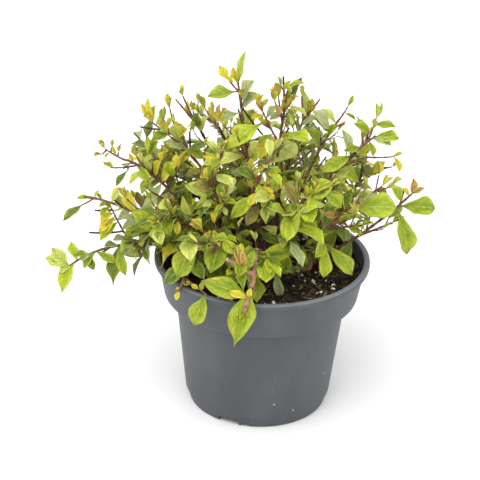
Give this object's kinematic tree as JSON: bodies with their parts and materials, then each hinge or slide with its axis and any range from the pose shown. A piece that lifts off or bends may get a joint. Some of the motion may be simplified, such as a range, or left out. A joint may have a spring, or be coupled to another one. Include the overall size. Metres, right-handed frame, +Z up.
{
  "type": "potted chinese plumbago",
  "caption": "Young many-stemmed flowering shrub in leaf, with no flowers, arching over a round grey nursery pot.",
  "frame": {"origin": "middle of the flat pad under the pot, level with the pot's foot", "axes": "+Z up, the pictured front of the plant towards -Y, +X to the right"},
  "size_m": [0.3492, 0.2764, 0.3309],
  "materials": {
    "pot": "matte dusty grey",
    "soil": "moist peat-like compost",
    "bark": "reddish brown bark",
    "leaf": "soft satin lime green leaf"
  },
  "bodies": {
    "root": {"foliage_back_left": "leaf", "foliage_back_left_top": "leaf", "foliage_back_mid": "leaf", "foliage_back_right": "leaf", "foliage_back_top": "leaf", "foliage_front_left": "leaf", "foliage_front_left_low": "leaf", "foliage_front_low": "leaf", "foliage_front_mid": "leaf", "foliage_front_right": "leaf", "foliage_left_crest": "leaf", "foliage_left_front": "leaf", "foliage_left_inner": "leaf", "foliage_left_low": "leaf", "foliage_left_lower": "leaf", "foliage_left_mid": "leaf", "foliage_left_top": "leaf", "foliage_left_upper": "leaf", "foliage_right_back": "leaf", "foliage_right_crest": "leaf", "foliage_right_front": "leaf", "foliage_right_low": "leaf", "foliage_right_mid": "leaf", "foliage_right_upper": "leaf", "foliage_top_mid": "leaf", "foliage_top_tall": "leaf", "pot": "pot", "rootstock": "bark", "soil": "soil", "stem_back_left": "bark", "stem_back_left_top": "bark", "stem_back_mid": "bark", "stem_back_right": "bark", "stem_back_top": "bark", "stem_front_left": "bark", "stem_front_left_low": "bark", "stem_front_low": "bark", "stem_front_mid": "bark", "stem_front_right": "bark", "stem_left_crest": "bark", "stem_left_front": "bark", "stem_left_inner": "bark", "stem_left_low": "bark", "stem_left_lower": "bark", "stem_left_mid": "bark", "stem_left_top": "bark", "stem_left_upper": "bark", "stem_right_back": "bark", "stem_right_crest": "bark", "stem_right_front": "bark", "stem_right_low": "bark", "stem_right_mid": "bark", "stem_right_upper": "bark", "stem_top_mid": "bark", "stem_top_tall": "bark"}
  },
  "joints": []
}
